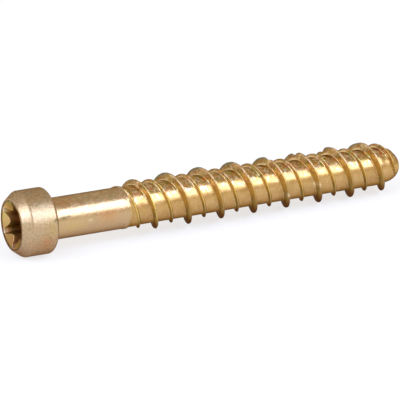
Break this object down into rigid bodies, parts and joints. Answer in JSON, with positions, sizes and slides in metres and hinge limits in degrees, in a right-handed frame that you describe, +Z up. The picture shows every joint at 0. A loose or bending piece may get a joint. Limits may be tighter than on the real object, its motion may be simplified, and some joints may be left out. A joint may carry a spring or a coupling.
{
  "type": "concrete screw",
  "caption": "concrete frame screw with a cylinder head, a lobed drive recess, a plain shank and a high and a low thread, lying at rest",
  "frame": {"origin": "centre of the bounding box in X and Y, on the surface the screw lies on in Z", "axes": "+X runs from the head to the tip, a degree below level, +Z is up, +Y completes the right-handed frame"},
  "size_m": [0.0598, 0.0092, 0.0094],
  "materials": {
    "yellow_passivated_zinc": "yellow passivated zinc plating on hardened steel, satin on the head, brighter on the shank and between the threads"
  },
  "bodies": {
    "root": {"concrete_screw": "yellow_passivated_zinc"}
  },
  "joints": []
}
